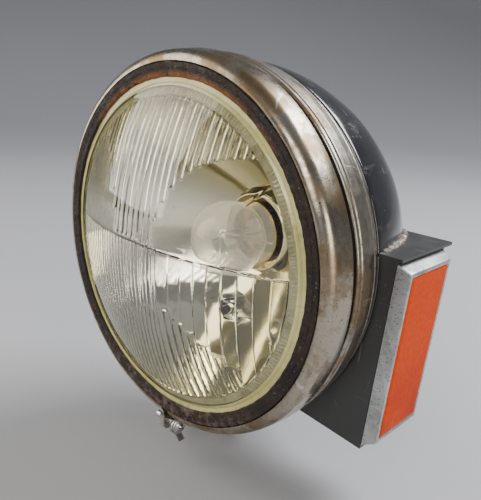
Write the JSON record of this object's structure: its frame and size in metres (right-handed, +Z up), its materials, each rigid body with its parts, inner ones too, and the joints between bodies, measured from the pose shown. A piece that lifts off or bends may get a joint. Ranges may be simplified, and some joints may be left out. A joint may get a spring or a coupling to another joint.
{
  "type": "headlight",
  "caption": "Round bowl headlight with a fluted glass, split chrome rim, removable light unit and a side pod that carries an amber reflector.",
  "frame": {"origin": "centre of the swivel foot's flat seat, on the axis of the mounting stud", "axes": "+Z up along the stud, the glass faces -Y, the side pod is on +X"},
  "size_m": [0.206, 0.146, 0.221],
  "materials": {
    "black_paint": "gloss black, scratched",
    "pod_paint": "satin black, worn",
    "weld": "worn filler and weld",
    "rim_chrome": "worn and pitted",
    "band_chrome": "dull, browned",
    "zinc": "zinc plated",
    "cup_steel": "black",
    "lens_glass": "clear, slightly yellowed",
    "globe_glass": "clear",
    "rusty_seal": "rough, rust stained",
    "seal_rubber": "perished",
    "gasket": "yellowed sealing ring",
    "silvering": "silvered, slightly dull",
    "collar_steel": "plain pressed steel",
    "bulb_brass": "bright",
    "filament_metal": "tungsten and nickel",
    "bakelite": "moulded black",
    "pilot_glass": "clear",
    "bezel_metal": "dull, pitted",
    "amber": "reflex prisms",
    "backplate": "plain"
  },
  "bodies": {
    "mount": {"mounting_stud": "zinc", "swivel_foot": "cup_steel"},
    "swivel": {"dome_washer": "zinc", "spring_washer": "zinc", "stud_nut": "zinc"},
    "bowl": {"headlamp_bowl": "black_paint", "swivel_cup": "cup_steel", "chrome_band": "band_chrome", "band_seal": "seal_rubber", "pod_shell": "pod_paint", "pod_weld": "weld", "amber_bezel": "bezel_metal", "amber_backplate": "backplate", "amber_lens": "amber", "bezel_washer_1": "zinc", "bezel_washer_2": "zinc", "bezel_nut_1": "zinc", "bezel_nut_2": "zinc", "cable_grommet": "seal_rubber"},
    "light_unit": {"trim_rim": "rim_chrome", "tab_washer": "zinc", "front_seal": "rusty_seal", "headlamp_lens": "lens_glass", "lens_gasket": "gasket", "reflector": "silvering", "reflector_collar": "collar_steel", "rim_clips": "zinc", "pilot_sleeve": "collar_steel"},
    "clamp_screw": {"clamp_screw": "zinc"},
    "clamp_nut": {"clamp_nut": "zinc"},
    "bulb_holder": {"bulb_holder": "bakelite", "holder_spring": "zinc", "holder_contact_left": "bulb_brass", "holder_contact_top": "bulb_brass", "holder_contact_right": "bulb_brass"},
    "main_bulb": {"bulb_globe": "globe_glass", "bulb_cap": "bulb_brass", "bulb_insulator": "bakelite", "bulb_blade_left": "bulb_brass", "bulb_blade_top": "bulb_brass", "bulb_blade_right": "bulb_brass", "main_filament": "filament_metal", "dip_filament": "filament_metal", "filament_supports": "filament_metal", "dip_shield": "filament_metal"},
    "pilot_holder": {"pilot_holder": "collar_steel", "pilot_contact": "bulb_brass", "pilot_insulator": "bakelite"},
    "pilot_bulb": {"pilot_bulb": "pilot_glass"}
  },
  "joints": [
    {"name": "aim_pan", "type": "hinge", "parent": "mount", "child": "swivel", "pos_m": [0, 0, 0.022], "axis": [0, 0, 1], "range_deg": [-20, 20]},
    {"name": "aim_tilt", "type": "hinge", "parent": "swivel", "child": "bowl", "pos_m": [0, 0, 0.022], "axis": [1, 0, 0], "range_deg": [-8, 8]},
    {"name": "unit_pull", "type": "slide", "parent": "bowl", "child": "light_unit", "axis": [0, -1, 0], "range_m": [0, 0.26]},
    {"name": "clamp_screw_turn", "type": "hinge", "parent": "light_unit", "child": "clamp_screw", "pos_m": [-0.0025, -0.0505, 0.0052], "axis": [1, 0, 0], "range_deg": [0, 2890]},
    {"name": "clamp_nut_travel", "type": "slide", "parent": "light_unit", "child": "clamp_nut", "axis": [-1, 0, 0], "range_m": [0, 0.0056]},
    {"name": "holder_pull", "type": "slide", "parent": "light_unit", "child": "bulb_holder", "axis": [0, 1, 0], "range_m": [0, 0.131]},
    {"name": "bulb_pull", "type": "slide", "parent": "light_unit", "child": "main_bulb", "axis": [0, 1, 0], "range_m": [0, 0.066]},
    {"name": "pilot_holder_pull", "type": "slide", "parent": "light_unit", "child": "pilot_holder", "axis": [0, 1, 0], "range_m": [0, 0.04]},
    {"name": "pilot_bulb_pull", "type": "slide", "parent": "light_unit", "child": "pilot_bulb", "axis": [0, 1, 0], "range_m": [0, 0.021]}
  ],
  "couplings": [
    {"joint": "clamp_screw_turn", "follows": "clamp_nut_travel", "rad_per_m": 8976},
    {"joint": "holder_pull", "follows": "unit_pull", "ratio": 0.5},
    {"joint": "bulb_pull", "follows": "unit_pull", "ratio": 0.25},
    {"joint": "pilot_holder_pull", "follows": "unit_pull", "ratio": 0.15},
    {"joint": "pilot_bulb_pull", "follows": "unit_pull", "ratio": 0.08}
  ]
}
